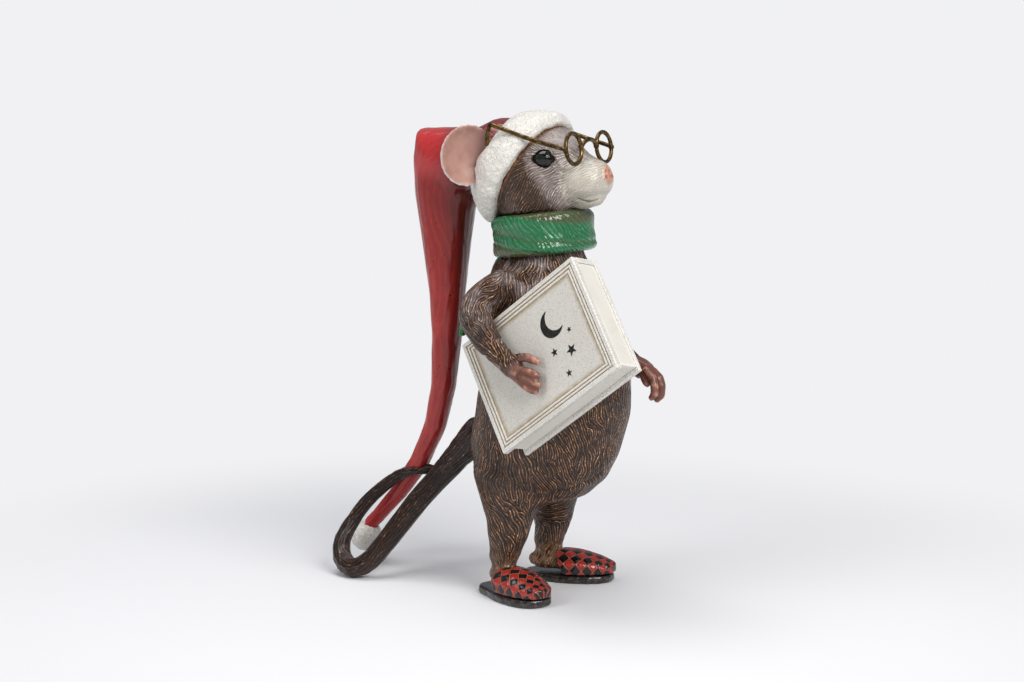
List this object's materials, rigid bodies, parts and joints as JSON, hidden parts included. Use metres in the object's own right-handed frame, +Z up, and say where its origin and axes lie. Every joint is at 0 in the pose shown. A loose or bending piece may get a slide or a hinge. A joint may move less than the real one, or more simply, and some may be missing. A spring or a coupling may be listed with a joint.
{
  "type": "mouse figurine",
  "caption": "Upright cast mouse ornament in slippers, with a scarf, wire spectacles, a nightcap whose long bag hangs to a curled tail, and a closed book under one arm.",
  "frame": {"origin": "on the floor, under the middle of the figurine's box", "axes": "+Z up, the mouse faces -Y, and its own left side is +X"},
  "size_m": [0.0656, 0.127, 0.156],
  "materials": {
    "fur": "painted casting resin, dark brown with rubbed copper on the carved hairs, satin lacquer",
    "face": "painted casting resin, grey-brown fur fading to a white muzzle, satin lacquer",
    "eye": "black bead, high gloss",
    "ear": "painted casting resin, pink inside with a grey rim",
    "cap_band": "painted casting resin, off-white with a pebbled fleece texture",
    "cap_bag": "painted casting resin, red with dark shading, gloss lacquer",
    "pompom": "painted casting resin, greyish white, pebbled",
    "scarf": "painted casting resin, green with a brown wash at the edges, gloss lacquer",
    "book_cover": "painted casting resin, off-white with a sandy wash in the moulding, satin",
    "book_pages": "painted casting resin, off-white, lightly ribbed",
    "slipper_sole": "painted casting resin, black with a bronze rub, gloss lacquer",
    "slipper_upper": "painted casting resin, red and black lozenges, gloss lacquer",
    "wire": "antique brass wire"
  },
  "bodies": {
    "root": {"torso": "fur", "head": "face", "eye_right": "eye", "eye_left": "eye", "ear_right": "ear", "ear_left": "ear", "nightcap_band": "cap_band", "nightcap_bag": "cap_bag", "nightcap_pompom": "pompom", "scarf_collar": "scarf", "scarf_end": "scarf", "arm_right": "fur", "arm_left": "fur", "tail": "fur", "book_front_board": "book_cover", "book_back_board": "book_cover", "book_spine": "book_cover", "book_page_block": "book_pages", "slipper_sole_right": "slipper_sole", "slipper_sole_left": "slipper_sole", "slipper_upper_right": "slipper_upper", "slipper_upper_left": "slipper_upper", "spectacle_rim_right": "wire", "spectacle_rim_left": "wire", "spectacle_temple_right": "wire", "spectacle_temple_left": "wire", "spectacle_bridge": "wire"}
  },
  "joints": []
}
